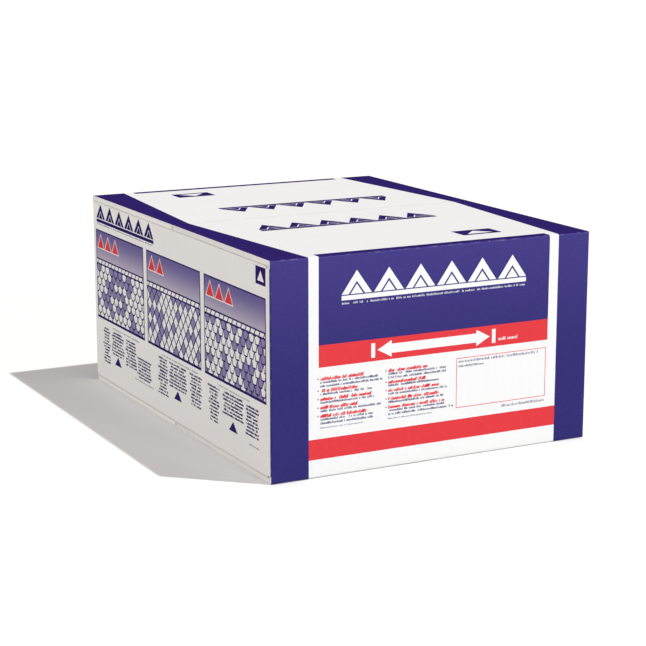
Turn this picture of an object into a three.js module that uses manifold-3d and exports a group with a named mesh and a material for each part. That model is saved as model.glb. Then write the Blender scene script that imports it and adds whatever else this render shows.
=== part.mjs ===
// A closed shipping carton of ridge cap shingles, in millimetres, +Z up.
//
// The carton is one folded blank of corrugated board: four panels, a glued corner joint,
// short inner flaps on the side panels and full outer flaps on the end panels, which meet
// over the middle. It holds one stack of ridge caps, each a strip of shingle whose butt is
// pleated to three layers. The butts lie alternately at the front and at the back, so that
// the stack stays level. The origin is under the middle of the carton's base.

import * as THREE from 'three';
import { mergeVertices } from 'three/addons/utils/BufferGeometryUtils.js';
import Module from 'manifold-3d';

const wasm = await Module();
wasm.setup();

// Ridge caps
const capWidth = 254; // across the ridge, along X
const capLength = 337; // from butt to tail, along Y
const sheet = 2.5; // thickness of one layer of shingle
const pleatDepth = 38; // how far each pleat of the butt reaches back
const pleatGap = 0.2; // air between two layers of a pleat
const lastPleatSetback = 3; // cut edge of the lowest layer behind the butt's nose
const sheetBend = 400; // inside radius where a sloping sheet turns level
const sheetBendStart = 6; // from the end of the pleats to that turn
const pairCount = 13; // pairs of caps in the stack

// Carton
const board = 4; // thickness of the corrugated board
const foldInside = 0.4; // radius inside every scored fold
const foldOutside = 1.5; // radius outside it, tighter than the board because the score crushes it
const innerFlap = 112; // reach of the flaps on the side panels
const seam = 0.6; // gap where the outer flaps meet
const outerFlapInset = 0.3; // side edge of an outer flap, in from the panel's face
const innerFlapInset = 1.2; // side edge of an inner flap, in from the board beside it
const tabWidth = 36; // glue tab of the corner joint, from the back panel's face
const tabTaper = 14; // rise of the tab's slanting ends

// Clearances
const rest = 0.3; // between two pieces that lie on each other
const lap = 0.3; // between two layers of board
const besideStack = 0.85; // at each side of the stack, along X
const endOfStack = 0.5; // at each end of the stack, along Y
const aboveStack = 1.4;

// Facets in a quarter turn
const boardFacets = 8;
const pleatFacets = 4;

// Sizes that follow
const buttThickness = 3 * sheet + 2 * pleatGap;
const pairPitch = buttThickness + sheet + 2 * rest;
const stackHeight = pairCount * pairPitch - rest;
const flapLayers = 2 * board + lap;
const jointLayers = board + lap; // the glue tab and its clearance, inside the right panel
const length = capWidth + 2 * besideStack + 2 * board + jointLayers; // carton, along X
const width = capLength + 2 * endOfStack + 2 * board; // carton, along Y
const innerFoldLevel = board + lap; // base of the side panels' folds above the floor
const lowerCrease = innerFoldLevel + foldOutside; // where the panels' walls start
const height = stackHeight + rest + aboveStack + 2 * flapLayers;
const wallHeight = height - 2 * lowerCrease;
const stackX = -jointLayers / 2; // the tab takes its room from one side only
const stackZ = flapLayers + rest;
const scoredFold = { inside: foldInside, outside: foldOutside };
const pleat = { inside: pleatGap / 2, outside: pleatGap / 2 + sheet };
const gentleBend = { inside: sheetBend, outside: sheetBend + sheet };

// A path of points, each [x, y] or [x, y, radius], with an arc in place of each corner that
// has a radius.
function roundedPath(points, facetsPerQuarter) {
  const corners = points.map(([x, y]) => new THREE.Vector2(x, y));
  return corners.flatMap((corner, i) => {
    const radius = points[i][2] ?? 0;
    if (radius === 0) return [corner];
    const from = corner.clone().sub(corners[i - 1]).normalize();
    const to = corners[i + 1].clone().sub(corner).normalize();
    const turn = Math.atan2(from.cross(to), from.dot(to));
    const outward = new THREE.Vector2(from.y, -from.x).multiplyScalar(Math.sign(turn) * radius);
    const start = corner.clone().addScaledVector(from, -radius * Math.tan(Math.abs(turn) / 2));
    const center = start.clone().sub(outward);
    const facets = Math.max(2, Math.ceil((facetsPerQuarter * Math.abs(turn)) / (Math.PI / 2)));
    return Array.from({ length: facets + 1 }, (_, k) =>
      center.clone().add(outward.clone().rotateAround(new THREE.Vector2(), (turn * k) / facets)),
    );
  });
}

// The path's own line, moved by a distance to its left, corner by corner.
function movedLeft(points, distance) {
  const corners = points.map(([x, y]) => new THREE.Vector2(x, y));
  const normal = (a, b) => new THREE.Vector2(a.y - b.y, b.x - a.x).normalize();
  return corners.map((corner, i) => {
    const before = i > 0 ? normal(corners[i - 1], corner) : normal(corner, corners[i + 1]);
    const after = i < corners.length - 1 ? normal(corner, corners[i + 1]) : before;
    const middle = before.clone().add(after).multiplyScalar(1 / (1 + before.dot(after)));
    return corner.clone().addScaledVector(middle, distance);
  });
}

// Outline of a strip of one thickness, bent along a path. The path follows one face of the
// strip through its sharp corners, with the strip's body on the left. A corner is [x, y] or
// [x, y, fold], and a fold has the radius inside the bend and the one outside it.
function bentStrip(path, thickness, usualFold, facetsPerQuarter) {
  const back = movedLeft(path, thickness);
  const turnsLeft = (i) => {
    const [a, b, c] = [path[i - 1], path[i], path[i + 1]];
    return (b[0] - a[0]) * (c[1] - b[1]) - (b[1] - a[1]) * (c[0] - b[0]) > 0;
  };
  const radii = path.map((corner, i) => {
    if (i === 0 || i === path.length - 1) return [0, 0];
    const fold = corner[2] ?? usualFold;
    return turnsLeft(i) ? [fold.outside, fold.inside] : [fold.inside, fold.outside];
  });
  const faceLine = path.map(([x, y], i) => [x, y, radii[i][0]]);
  const backLine = back.map(({ x, y }, i) => [x, y, radii[i][1]]);
  const facePoints = roundedPath(faceLine, facetsPerQuarter);
  const backPoints = roundedPath(backLine, facetsPerQuarter).reverse();
  return new THREE.Shape(withoutRepeats([...facePoints, ...backPoints]));
}

function withoutRepeats(points) {
  const smallest = 1e-6;
  return points.filter((point, i) => point.distanceTo(points.at(i - 1)) > smallest);
}

// A flat rectangle with rounded corners, about the origin.
function roundedRectangle(sizeX, sizeY, radius) {
  const shape = new THREE.Shape();
  const x = sizeX / 2 - radius;
  const y = sizeY / 2 - radius;
  shape.absarc(x, y, radius, 0, Math.PI / 2);
  shape.absarc(-x, y, radius, Math.PI / 2, Math.PI);
  shape.absarc(-x, -y, radius, Math.PI, 1.5 * Math.PI);
  shape.absarc(x, -y, radius, 1.5 * Math.PI, 2 * Math.PI);
  return shape;
}

const X = new THREE.Vector3(1, 0, 0);
const Y = new THREE.Vector3(0, 1, 0);
const Z = new THREE.Vector3(0, 0, 1);

// Straight prisms of a shape: upwards from the crease, or centred along X or Y. The shape's
// own y axis stands up in the last two.
function prismUp(shape, depth, from = 0) {
  const options = { depth, bevelEnabled: false, curveSegments: boardFacets };
  return new THREE.ExtrudeGeometry(shape, options).translate(0, 0, from);
}

function prismAlongX(shape, depth, center = 0) {
  const turn = new THREE.Matrix4().makeBasis(Y, Z, X);
  return prismUp(shape, depth, center - depth / 2).applyMatrix4(turn);
}

function prismAlongY(shape, depth) {
  const turn = new THREE.Matrix4().makeBasis(X, Z, Y.clone().negate());
  return prismUp(shape, depth, -depth / 2).applyMatrix4(turn);
}

function turnedRound(geometry) {
  return geometry.clone().rotateZ(Math.PI);
}

function solid(geometry) {
  const bare = geometry.clone();
  bare.deleteAttribute('normal');
  bare.deleteAttribute('uv');
  const merged = mergeVertices(bare);
  const mesh = new wasm.Mesh({
    numProp: 3,
    vertProperties: Float32Array.from(merged.attributes.position.array),
    triVerts: Uint32Array.from(merged.index.array),
  });
  return new wasm.Manifold(mesh);
}

function joined(geometries) {
  return geometries.map(solid).reduce((whole, piece) => whole.add(piece));
}

function geometryOf(manifold) {
  const mesh = manifold.getMesh();
  const geometry = new THREE.BufferGeometry();
  geometry.setAttribute('position', new THREE.BufferAttribute(mesh.vertProperties, 3));
  geometry.setIndex(new THREE.BufferAttribute(mesh.triVerts, 1));
  geometry.computeVertexNormals();
  return geometry;
}

// The four panels between their creases, from the glue tab's fold round to the cut edge of
// the right panel, which laps over the tab.
function panels() {
  const tabFace = length / 2 - jointLayers;
  const right = length / 2;
  const back = width / 2;
  const outline = bentStrip(
    [
      [tabFace, back - foldOutside - board],
      [tabFace, back],
      [-right, back],
      [-right, -back],
      [right, -back],
      [right, back],
    ],
    board,
    scoredFold,
    boardFacets,
  );
  return prismUp(outline, wallHeight);
}

// The glue tab lies inside the right panel, with slanting ends.
function glueTab() {
  const root = width / 2 - foldOutside;
  const tip = width / 2 - tabWidth;
  const outline = new THREE.Shape([
    new THREE.Vector2(root, 0),
    new THREE.Vector2(root, wallHeight),
    new THREE.Vector2(tip, wallHeight - tabTaper),
    new THREE.Vector2(tip, tabTaper),
  ]);
  return prismAlongX(outline, board, length / 2 - jointLayers - board / 2);
}

// The sections of a panel's two flaps, over the top and under the base, from their roots in
// the panel to their tips. The panel's face is at -face, a root lies that far inside the
// panel's crease, and level is how far the fold's outside stands beyond the crease.
function flapSections(face, tip, level, root) {
  const over = wallHeight + level;
  const top = [[tip, over], [-face, over], [-face, wallHeight - root]];
  const base = [[-face, root], [-face, -level], [tip, -level]];
  return [top, base].map((path) => bentStrip(path, board, scoredFold, boardFacets));
}

function outerFlaps() {
  const sections = flapSections(width / 2, -seam / 2, foldOutside + innerFoldLevel, 0);
  const flaps = sections.map((section) => prismAlongX(section, length - 2 * outerFlapInset));
  const footprint = roundedRectangle(length, width, foldOutside);
  const envelope = solid(prismUp(footprint, 2 * height, -height / 2));
  return joined([...flaps, ...flaps.map(turnedRound)]).intersect(envelope);
}

function innerFlaps() {
  const sections = flapSections(length / 2, innerFlap - length / 2, foldOutside, board);
  const span = width - 2 * (board + innerFlapInset);
  const flaps = sections.map((section) => prismAlongY(section, span));
  return joined([...flaps, ...flaps.map(turnedRound)]);
}

function carton() {
  const blank = joined([panels(), glueTab()]).add(innerFlaps()).add(outerFlaps());
  const material = new THREE.MeshStandardMaterial({ color: 0xf3f1ee, roughness: 0.6, metalness: 0 });
  const mesh = new THREE.Mesh(geometryOf(blank), material);
  mesh.name = 'carton';
  mesh.position.z = lowerCrease;
  return mesh;
}

// A ridge cap with its butt at -Y, its underside at z = 0 and its butt pleated under. A
// level cap keeps its sheet at the height of the butt. A sloping one lets its tail down to
// the surface that the butt stands on.
function capSection(slopes) {
  const nose = -capLength / 2;
  const tail = capLength / 2;
  const tailTop = slopes ? sheet : buttThickness;
  const foldedFace = buttThickness - 2 * sheet - pleatGap;
  const lastFace = foldedFace - pleatGap;
  const turnIn = pleatDepth + sheetBendStart;
  const slope = [
    [tail - turnIn, tailTop, gentleBend],
    [nose + turnIn, buttThickness, gentleBend],
  ];
  return bentStrip(
    [
      [tail, tailTop],
      ...(slopes ? slope : []),
      [nose, buttThickness],
      [nose, foldedFace],
      [nose + pleatDepth, foldedFace],
      [nose + pleatDepth, lastFace],
      [nose + lastPleatSetback, lastFace],
    ],
    sheet,
    pleat,
    pleatFacets,
  );
}

function ridgeCap(name, geometry) {
  const material = new THREE.MeshStandardMaterial({ color: 0x4b4946, roughness: 0.95, metalness: 0 });
  const mesh = new THREE.Mesh(geometry, material);
  mesh.name = name;
  return mesh;
}

// Each pair is a sloping cap with its butt at the front, and a level one turned round on it.
function stack() {
  const sloping = prismAlongX(capSection(true), capWidth);
  const level = prismAlongX(capSection(false), capWidth);
  const caps = new THREE.Group();
  for (let pair = 0; pair < pairCount; pair += 1) {
    const [lowerName, upperName] = [2 * pair + 1, 2 * pair + 2].map(
      (number) => `ridge_cap_${String(number).padStart(2, '0')}`,
    );
    const lower = ridgeCap(lowerName, sloping);
    lower.position.z = pair * pairPitch;
    const upper = ridgeCap(upperName, level);
    upper.position.z = pair * pairPitch + sheet + rest;
    upper.rotation.z = Math.PI;
    caps.add(lower, upper);
  }
  caps.position.set(stackX, 0, stackZ);
  return caps;
}

const group = new THREE.Group();
group.add(carton(), stack());

export default group;
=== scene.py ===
"""A closed shipping carton of ridge cap shingles: its board, its print and its studio.

Run as a script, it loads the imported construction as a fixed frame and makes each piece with
an operator of its own. All lengths are in metres. The carton stands on the floor with its
front end panel towards -Y and its left side panel towards -X.
"""

import math
from collections import namedtuple
from functools import cached_property

import bmesh
import bpy
from bpy.props import FloatProperty, FloatVectorProperty, PointerProperty
from mathutils import Matrix, Vector


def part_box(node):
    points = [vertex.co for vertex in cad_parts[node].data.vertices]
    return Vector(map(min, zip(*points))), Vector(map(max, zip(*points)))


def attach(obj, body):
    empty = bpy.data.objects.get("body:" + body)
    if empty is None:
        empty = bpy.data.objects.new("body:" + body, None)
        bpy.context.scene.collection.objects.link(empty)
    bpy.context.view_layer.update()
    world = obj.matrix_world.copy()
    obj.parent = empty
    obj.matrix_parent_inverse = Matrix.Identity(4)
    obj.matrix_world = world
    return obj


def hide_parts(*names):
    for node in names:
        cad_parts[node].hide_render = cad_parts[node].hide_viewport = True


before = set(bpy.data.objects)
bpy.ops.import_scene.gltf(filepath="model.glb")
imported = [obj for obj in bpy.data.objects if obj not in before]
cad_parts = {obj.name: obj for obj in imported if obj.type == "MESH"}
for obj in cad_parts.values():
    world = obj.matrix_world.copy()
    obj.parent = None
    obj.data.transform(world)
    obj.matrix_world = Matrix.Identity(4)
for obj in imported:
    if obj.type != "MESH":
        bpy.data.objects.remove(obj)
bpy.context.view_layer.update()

bl_info = {
    "name": "Shingle Carton",
    "version": (1, 0, 0),
    "blender": (4, 5, 0),
    "location": "View3D > Sidebar > Carton",
    "description": "Makes a printed carton of ridge cap shingles and its studio",
    "category": "Add Mesh",
}

LOW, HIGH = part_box("carton")
LENGTH, WIDTH, HEIGHT = HIGH - LOW
CAP_NODES = sorted(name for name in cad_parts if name.startswith("ridge_cap_"))
BODY = "root"
MM = 0.001


# Properties


def length(name, description, default):
    """A length that a user may change, in metres."""
    return FloatProperty(
        name=name, description=description, default=default, min=0.0, precision=5,
        unit="LENGTH", subtype="DISTANCE",
    )


def angle(name, description, degrees):
    """An angle that a user may change, given in degrees."""
    return FloatProperty(
        name=name, description=description, default=math.radians(degrees),
        unit="ROTATION", subtype="ANGLE",
    )


def share(name, description, default, most=1.0):
    """A plain number from nought to its most."""
    return FloatProperty(name=name, description=description, default=default, min=0.0, max=most)


def colour(name, description, red, green, blue):
    """A colour that a user may change, given as display values from 0 to 255."""
    def linear(value):
        value /= 255
        return value / 12.92 if value <= 0.04045 else ((value + 0.055) / 1.055) ** 2.4

    return FloatVectorProperty(
        name=name, description=description, size=3, min=0.0, max=1.0, subtype="COLOR",
        default=(linear(red), linear(green), linear(blue)),
    )


class CartonBoard(bpy.types.PropertyGroup):
    """Sizes of the corrugated board, as the carton is folded."""

    fold_radius: length("Fold radius", "Radius outside a scored fold", 1.5 * MM)
    crease: length("Crease", "Height of the side panels' lower crease", 5.8 * MM)
    crease_radius: length("Crease radius", "Radius outside the crease of a short flap", 0.5 * MM)
    seam: length("Seam", "Gap where the outer flaps meet", 0.6 * MM)
    flap_inset: length("Flap inset", "Side edge of an outer flap, in from the panel", 0.3 * MM)
    joint: length("Corner joint", "Layers of the glue tab inside the right panel", 4.3 * MM)
    liner: length("Liner", "Thickness of a liner, seen at a cut edge", 0.5 * MM)
    recess: length("Recess", "Depth of the fluting behind the liners' edges", 0.3 * MM)
    edge: length("Edge", "Softening of a cut edge", 0.12 * MM)
    film: length("Ink level", "Thickness of one layer of print", 0.04 * MM)
    skin: length("Skin", "Room kept for the print inside the carton's box", 0.13 * MM)
    flute: length("Flute pitch", "Distance from one flute of the board to the next", 7.7 * MM)


class EndPrint(bpy.types.PropertyGroup):
    """Layout of the print on an end panel and its flaps, from the panel's left and top."""

    left_band: length("Left band", "Width of the blue band at the left", 30 * MM)
    right_band: length("Right band", "Width of the blue band at the right", 28 * MM)
    seam_band: length("Band at the seam", "Width of a band where the flaps meet", 14 * MM)
    gap: length("Gap", "Bare board between a band and the block", 8 * MM)
    block: length("Blue block", "Height of the blue block", 63.8 * MM)
    wrap: length("Wrap", "How far the block reaches over the fold", 8.6 * MM)
    red_band: length("Red band", "Height of the red band below the block", 16.1 * MM)
    stripe_top: length("Stripe", "Top edge of the red stripe", 132.1 * MM)
    stripe: length("Stripe height", "Height of the red stripe", 15 * MM)


class SidePrint(bpy.types.PropertyGroup):
    """Layout of the print on a side panel, from the panel's left and top."""

    margin: length("Margin", "Bare board at the left of the pictures", 6.4 * MM)
    picture_width: length("Picture width", "Width of one framed picture", 106.4 * MM)
    picture_height: length("Picture height", "Height of the framed pictures", 76.4 * MM)
    picture_pitch: length("Picture pitch", "Distance from one picture to the next", 113.3 * MM)
    picture_top: length("Picture top", "Top edge of the pictures", 27.6 * MM)
    line: length("Line", "Width of a frame's line", 1.1 * MM)
    ridge: length("Ridge", "Width of the dark line along the top of the courses", 5.4 * MM)
    ridge_cap: length("Ridge cap", "Width of a cap in the row along the ridge", 7.6 * MM)
    ridge_cap_height: length("Ridge cap height", "Height of a cap in the row", 3 * MM)
    tile_line: length("Tile line", "Width of the dark line between two tiles", 1.5 * MM)
    eave: length("Eave", "Height of the dark band below the courses", 1 * MM)
    tile_width: length("Tile width", "Width of a tile in its course", 9.6 * MM)
    exposure: length("Exposure", "Height of a course that shows", 6 * MM)
    sky: share("Sky", "Share of a picture above its shingle courses", 0.32)
    shaded: share("Shaded tiles", "Share of the tiles that are printed blue", 0.33)


class CartonColours(bpy.types.PropertyGroup):
    """Colours of the board, the inks and the shingles."""

    liner: colour("Liner", "White outer liner of the board", 238, 239, 239)
    medium: colour("Fluting", "Paper between the liners, at a cut edge", 236, 234, 231)
    # The end panels' blue is lighter at the top and darker at the base: painted light from above on
    # one ink.
    blue_lit_top: colour("Blue, top", "Blue ink at the top of an end panel", 65, 58, 126)
    blue_shaded_base: colour("Blue, base", "Blue ink at the base of an end panel", 51, 46, 112)
    # On the flaps this darker blue is a painted shade of the end panels' blue.
    dark_blue: colour("Dark blue", "Blue ink on the flaps and the side panels", 48, 34, 104)
    pale_blue: colour("Pale blue", "Screened blue of the shaded tiles", 142, 134, 176)
    red: colour("Red", "Red ink", 221, 62, 68)
    sky_top: colour("Sky, top", "Blue tint at the top of a picture", 105, 96, 153)
    sky_base: colour("Sky, base", "Pale tint lower in a picture", 214, 209, 218)
    granule: colour("Granules", "Mineral granules of the shingles", 62, 59, 57)
    pale_granule: colour("Pale granules", "The palest granules", 128, 121, 113)
    floor: colour("Floor", "Pale floor of the studio", 250, 249, 248)


class CartonStudio(bpy.types.PropertyGroup):
    """Lamps, floor and camera."""

    key_azimuth: angle("Key azimuth", "Key lamp's turn from the front to the right", 48)
    key_elevation: angle("Key elevation", "Key lamp's height above the floor", 62.5)
    key_level: share("Key", "Level of the key lamp", 0.705, 4.0)
    key_spread: angle("Key spread", "Apparent size of the key lamp", 1.2)
    key_tint: colour("Key tint", "Colour of the key lamp", 253, 252, 252)
    fill_azimuth: angle("Fill azimuth", "Fill lamp's turn from the front to the right", 12)
    fill_elevation: angle("Fill elevation", "Fill lamp's height above the floor", 3)
    fill_level: share("Fill", "Level of the fill lamp", 0.78, 4.0)
    fill_spread: angle("Fill spread", "Apparent size of the fill lamp", 9)
    fill_tint: colour("Fill tint", "Colour of the fill lamp", 251, 252, 252)
    side_azimuth: angle("Side azimuth", "Side lamp's turn from the front to the right", -120)
    side_elevation: angle("Side elevation", "Side lamp's height above the floor", 2.5)
    side_level: share("Side", "Level of the side lamp", 0.72, 4.0)
    side_spread: angle("Side spread", "Apparent size of the side lamp", 9)
    side_tint: colour("Side tint", "Colour of the side lamp", 255, 248, 243)
    sky_level: share("Sky", "Level of the even light from all round", 0.335, 4.0)
    sky_tint: colour("Sky tint", "Colour of the even light", 255, 249, 246)
    floor_bounce: share("Floor bounce", "Share of its light that the floor throws back", 0.15)
    floor_lift: share("Floor lift", "Glow that brings the lit floor to white", 0.11)
    camera_azimuth: angle("Camera azimuth", "Camera's turn from the front to the right", -27.43)
    camera_elevation: angle("Camera elevation", "Camera's height above the floor", 12.446)
    camera_distance: length("Camera distance", "From the camera to its aim", 1.50354)
    camera_aim: FloatVectorProperty(
        name="Camera aim", description="Point in the middle of the view",
        default=(0.00463, 0.01418, 0.06671), unit="LENGTH", subtype="XYZ",
    )
    focal_length: FloatProperty(
        name="Focal length", description="Focal length on a 36 mm sensor, in millimetres",
        default=102.13, min=1.0,
    )


def board():
    return bpy.context.scene.carton_board


def end_print():
    return bpy.context.scene.carton_end_print


def side_print():
    return bpy.context.scene.carton_side_print


def studio():
    return bpy.context.scene.carton_studio


def tint(name):
    """One of the carton's colours, as a colour socket takes it."""
    return (*getattr(bpy.context.scene.carton_colours, name), 1)


def linked(name, data):
    """A new object in the scene."""
    piece = bpy.data.objects.new(name, data)
    bpy.context.scene.collection.objects.link(piece)
    return piece


def mesh_of(sheet, name):
    """The mesh of a finished sheet or solid."""
    mesh = bpy.data.meshes.new(name)
    sheet.to_mesh(mesh)
    sheet.free()
    return mesh


# Node trees


def maths_node(operation, turned=False):
    """A function that joins two values in a Math node, in the other order if turned."""
    def joined(one, other):
        values = (other, one) if turned else (one, other)
        return one.tree.maths(operation, *values)
    return joined


lesser = maths_node("MINIMUM")
greater = maths_node("MAXIMUM")


class Wire:
    """One output of a node. Arithmetic with it adds Math nodes to its tree."""

    __add__ = maths_node("ADD")
    __sub__ = maths_node("SUBTRACT")
    __rsub__ = maths_node("SUBTRACT", turned=True)
    __mul__ = maths_node("MULTIPLY")
    __truediv__ = maths_node("DIVIDE")
    __rtruediv__ = maths_node("DIVIDE", turned=True)
    __mod__ = maths_node("MODULO")
    __gt__ = maths_node("GREATER_THAN")
    __lt__ = maths_node("LESS_THAN")

    def __init__(self, tree, socket):
        self.tree, self.socket = tree, socket

    def __abs__(self):
        return self.tree.maths("ABSOLUTE", self)

    def __floor__(self):
        return self.tree.maths("FLOOR", self)

    def other(self, output):
        """Another output of the same node."""
        return Wire(self.tree, self.socket.node.outputs[output])


class Tree:
    """A node tree, and short ways to add to it."""

    def __init__(self, data):
        self.data = data

    def join(self, value, socket):
        """Gives an input a wire or a plain value."""
        if isinstance(value, Wire):
            self.data.links.new(value.socket, socket)
        else:
            socket.default_value = value

    def add(self, kind, inputs=None, output=0, **settings):
        """One output of a new node, with its settings made and its inputs given."""
        node = self.data.nodes.new(kind)
        for setting, value in settings.items():
            setattr(node, setting, value)
        for key, value in (inputs or {}).items():
            self.join(value, node.inputs[key])
        return Wire(self, node.outputs[output])

    def maths(self, operation, *values):
        return self.add("ShaderNodeMath", dict(enumerate(values)), operation=operation)

    def vector(self, x=0.0, y=0.0, z=0.0):
        return self.add("ShaderNodeCombineXYZ", {0: x, 1: y, 2: z})

    def parts(self, vector):
        """The three parts of a vector."""
        first = self.add("ShaderNodeSeparateXYZ", {0: vector})
        return first, first.other(1), first.other(2)

    @cached_property
    def place(self):
        """The place of a shaded point in the carton."""
        return self.add("ShaderNodeTexCoord", output="Object")

    def noise(self, scale, detail=2.0, place=None, **inputs):
        """A soft random value, usually at the shaded point. A larger scale makes it finer."""
        inputs = {"Vector": place or self.place, "Scale": scale, "Detail": detail, **inputs}
        return self.add("ShaderNodeTexNoise", inputs)

    def smooth(self, value, low, high):
        """A value brought from between low and high to between nought and one, smoothly."""
        inputs = {"Value": value, "From Min": low, "From Max": high}
        return self.add("ShaderNodeMapRange", inputs, interpolation_type="SMOOTHSTEP")

    def mixed(self, factor, first, second, blend="MIX"):
        """Two colours mixed by a factor."""
        inputs = {0: factor, 6: first, 7: second}
        return self.add("ShaderNodeMix", inputs, 2, data_type="RGBA", blend_type=blend)

    def faded(self, lower, upper, base, top):
        """A colour that changes smoothly from one height to another."""
        rise = self.smooth(self.parts(self.place)[2], base, top)
        return self.mixed(rise, tint(lower), tint(upper))

    def toned(self, base, tone):
        """A colour made lighter or darker by a value near one."""
        grey = self.add("ShaderNodeCombineColor", {0: tone, 1: tone, 2: tone})
        return self.mixed(1.0, base, grey, "MULTIPLY")


INPUT_TYPES = {float: "NodeSocketFloat", int: "NodeSocketInt"}
RESULT_TYPES = {"ShaderNodeTree": "NodeSocketFloat", "GeometryNodeTree": "NodeSocketGeometry"}


class Group(Tree):
    """A node group. Each of its inputs has a value to start with, or else a kind of socket."""

    def __init__(self, name, kind, inputs):
        super().__init__(bpy.data.node_groups.new(name, kind))
        for label, default in inputs.items():
            socket_type = INPUT_TYPES.get(type(default), default)
            socket = self.data.interface.new_socket(
                name=label, in_out="INPUT", socket_type=socket_type,
            )
            if type(default) in INPUT_TYPES:
                socket.default_value = default
        start = self.data.nodes.new("NodeGroupInput")
        self.given = {socket.name: Wire(self, socket) for socket in start.outputs}

    def closed(self, **results):
        """Ends the group with its results."""
        socket_type = RESULT_TYPES[self.data.bl_idname]
        for label in results:
            self.data.interface.new_socket(name=label, in_out="OUTPUT", socket_type=socket_type)
        end = self.data.nodes.new("NodeGroupOutput")
        for label, result in results.items():
            self.join(result, end.inputs[label])
        return self.data


def once(make):
    """Keeps what a function first makes, a finish or a node group, under the function's name."""
    def kept():
        name = make.__name__
        return bpy.data.materials.get(name) or bpy.data.node_groups.get(name) or make(name)
    return kept


# Shader groups that several finishes share


@once
def fibre_relief(name):
    """Relief and tone of a liner: the flutes that show through it, fibres and fine felt. Its tone
    is lighter on the flutes' crests and darker between them, a painted shade of the relief.
    """
    group = Group(name, "ShaderNodeTree", {
        "Flute Pitch": board().flute, "Fibre Size": 0.6 * MM, "Flutes": 0.35, "Fibres": 0.65,
    })
    given = group.given
    x, y, _ = group.parts(group.place)
    normal = group.add("ShaderNodeNewGeometry", output="Normal")
    on_side = abs(group.parts(normal)[0]) > 0.7
    across = group.add("ShaderNodeMix", {0: on_side, 2: x, 3: y})
    wave = group.maths("SINE", across / given["Flute Pitch"] * (2 * math.pi))
    flutes = wave * 0.5 + 0.5
    fineness = 1.0 / given["Fibre Size"]
    felt = group.noise(fineness, 3.0)
    stretched = group.add("ShaderNodeMapping", {"Vector": group.place, "Scale": (1.0, 1.0, 0.22)})
    fibres = group.noise(fineness * 0.6, 2.0, stretched, Distortion=0.6)
    grain = felt + fibres
    height = flutes * given["Flutes"] + grain * given["Fibres"]
    grain_tone = (grain - 1.0) * 0.05
    cloud_tone = (group.noise(28.0, 3.0) - 0.5) * 0.035
    # Lighter on the crests and darker in the troughs: painted shade of the flutes' relief.
    flute_shade_tone = (flutes - 0.5) * given["Flutes"] * 0.02
    return group.closed(Height=height, Tone=grain_tone + 1.0 + cloud_tone + flute_shade_tone)


@once
def fold_rub(name):
    """A mask of the folds and corners, where ink and liner are rubbed."""
    group = Group(name, "ShaderNodeTree", {"Reach": 2.0 * MM, "Patches": 220.0})
    x, y, z = group.parts(group.place)
    from_side = LENGTH / 2 - abs(x)
    from_end = WIDTH / 2 - abs(y)
    from_base = HEIGHT / 2 - abs(z - HEIGHT / 2)
    nearer, farther = lesser(from_side, from_end), greater(from_side, from_end)
    to_edge = greater(nearer, lesser(farther, from_base))
    patches = group.noise(group.given["Patches"], 4.0)
    ragged = group.given["Reach"] * (patches * 2.0)
    near = 1.0 - group.smooth(to_edge, 0.0, ragged)
    return group.closed(Rub=near * group.smooth(patches, 0.42, 0.68))


@once
def ink_cover(name):
    """How well ink covers the liner, with pinholes, and the mottle of its tone."""
    group = Group(name, "ShaderNodeTree", {"Mottle": 0.05, "Pinholes": 0.5, "Speck Size": 0.5 * MM})
    given = group.given
    specks = group.noise(1.0 / given["Speck Size"], 1.0)
    cover = 1.0 - group.smooth(specks, 0.7, 0.78) * given["Pinholes"]
    mottle = (group.noise(420.0, 5.0, Roughness=0.65) - 0.5) * given["Mottle"]
    return group.closed(Cover=cover, Tone=mottle * 2.0 + 1.0)


# Finishes


class Finish(Tree):
    """A material with only its shader, whose even values are set on its own sockets."""

    def __init__(self, name, roughness=0.8, specular=0.04):
        self.material = bpy.data.materials.new(name)
        self.material.use_nodes = True
        super().__init__(self.material.node_tree)
        self.shader = self.data.nodes["Principled BSDF"].inputs
        self.shader["Roughness"].default_value = roughness
        self.shader["Specular IOR Level"].default_value = specular

    def group(self, data, **inputs):
        """A shared group with its own values. The wire is its first output."""
        return self.add("ShaderNodeGroup", inputs, node_tree=data)

    def pressed(self, height, depth):
        """The finished material, with a relief whose height goes from nought to one."""
        bump = self.add("ShaderNodeBump", {"Height": height, "Strength": 1.0, "Distance": depth})
        self.join(bump, self.shader["Normal"])
        return self.material


@once
def white_liner(name):
    """The board's bleached outer liner, a little scuffed and grey at the folds."""
    finish = Finish(name, specular=0.12)
    relief = finish.group(fibre_relief(), Flutes=0.35, Fibres=0.65)
    rub = finish.group(fold_rub(), Reach=2.2 * MM)
    scuffed = finish.mixed(rub * 0.3, tint("liner"), tint("medium"))
    fleck = finish.smooth(finish.noise(900.0), 0.74, 0.8)
    specked = finish.mixed(fleck * 0.18, scuffed, tint("medium"))
    # The relief's tone brings the fibres' grain and the flutes' painted shade.
    finish.join(finish.toned(specked, relief.other("Tone")), finish.shader["Base Color"])
    return finish.pressed(relief, 0.012 * MM)


@once
def cut_edge(name):
    """Cut edge of the board: crushed fluting between the liners."""
    finish = Finish(name, roughness=0.9, specular=0.1)
    torn = finish.noise(1400.0, 4.0)
    frayed = finish.mixed(finish.smooth(torn, 0.35, 0.7), tint("medium"), tint("liner"))
    layers = finish.noise(300.0) * 0.14 + 0.93
    finish.join(finish.toned(frayed, layers), finish.shader["Base Color"])
    return finish.pressed(torn, 0.05 * MM)


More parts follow.
